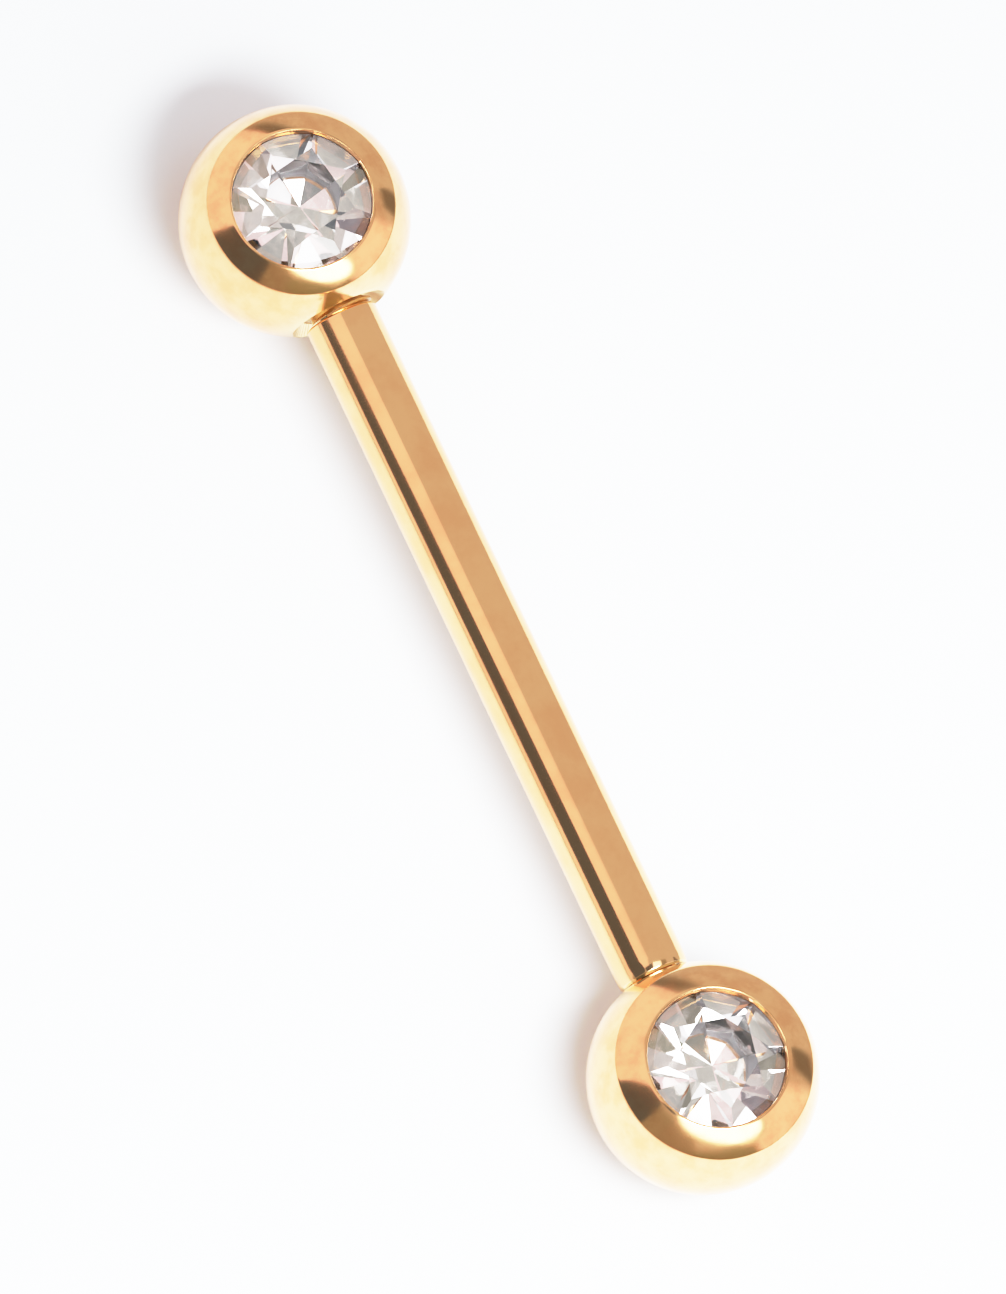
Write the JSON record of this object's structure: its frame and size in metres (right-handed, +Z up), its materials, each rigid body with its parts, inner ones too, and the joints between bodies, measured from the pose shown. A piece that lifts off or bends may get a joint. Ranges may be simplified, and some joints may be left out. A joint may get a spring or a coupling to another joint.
{
  "type": "nipple barbell",
  "caption": "Straight body-jewellery barbell with a gem-set ball at each end. The ball at -X comes off its threaded post so that the bar can be put in.",
  "frame": {"origin": "on the surface that the balls lie on, midway between the outer ends of the balls", "axes": "+X along the bar towards the fixed ball, +Z up through the stones"},
  "size_m": [0.0256, 0.005, 0.0045],
  "materials": {
    "gold": "mirror-polished gold plate over surgical steel",
    "crystal": "clear brilliant-cut stone with a bright back"
  },
  "bodies": {
    "barbell": {"bar": "gold", "fixed_ball": "gold", "fixed_stone": "crystal"},
    "end_ball": {"screw_ball": "gold", "screw_stone": "crystal"}
  },
  "joints": [
    {"name": "unscrew", "type": "slide", "parent": "barbell", "child": "end_ball", "axis": [-1, 0, 0], "range_m": [0, 0.02]}
  ]
}
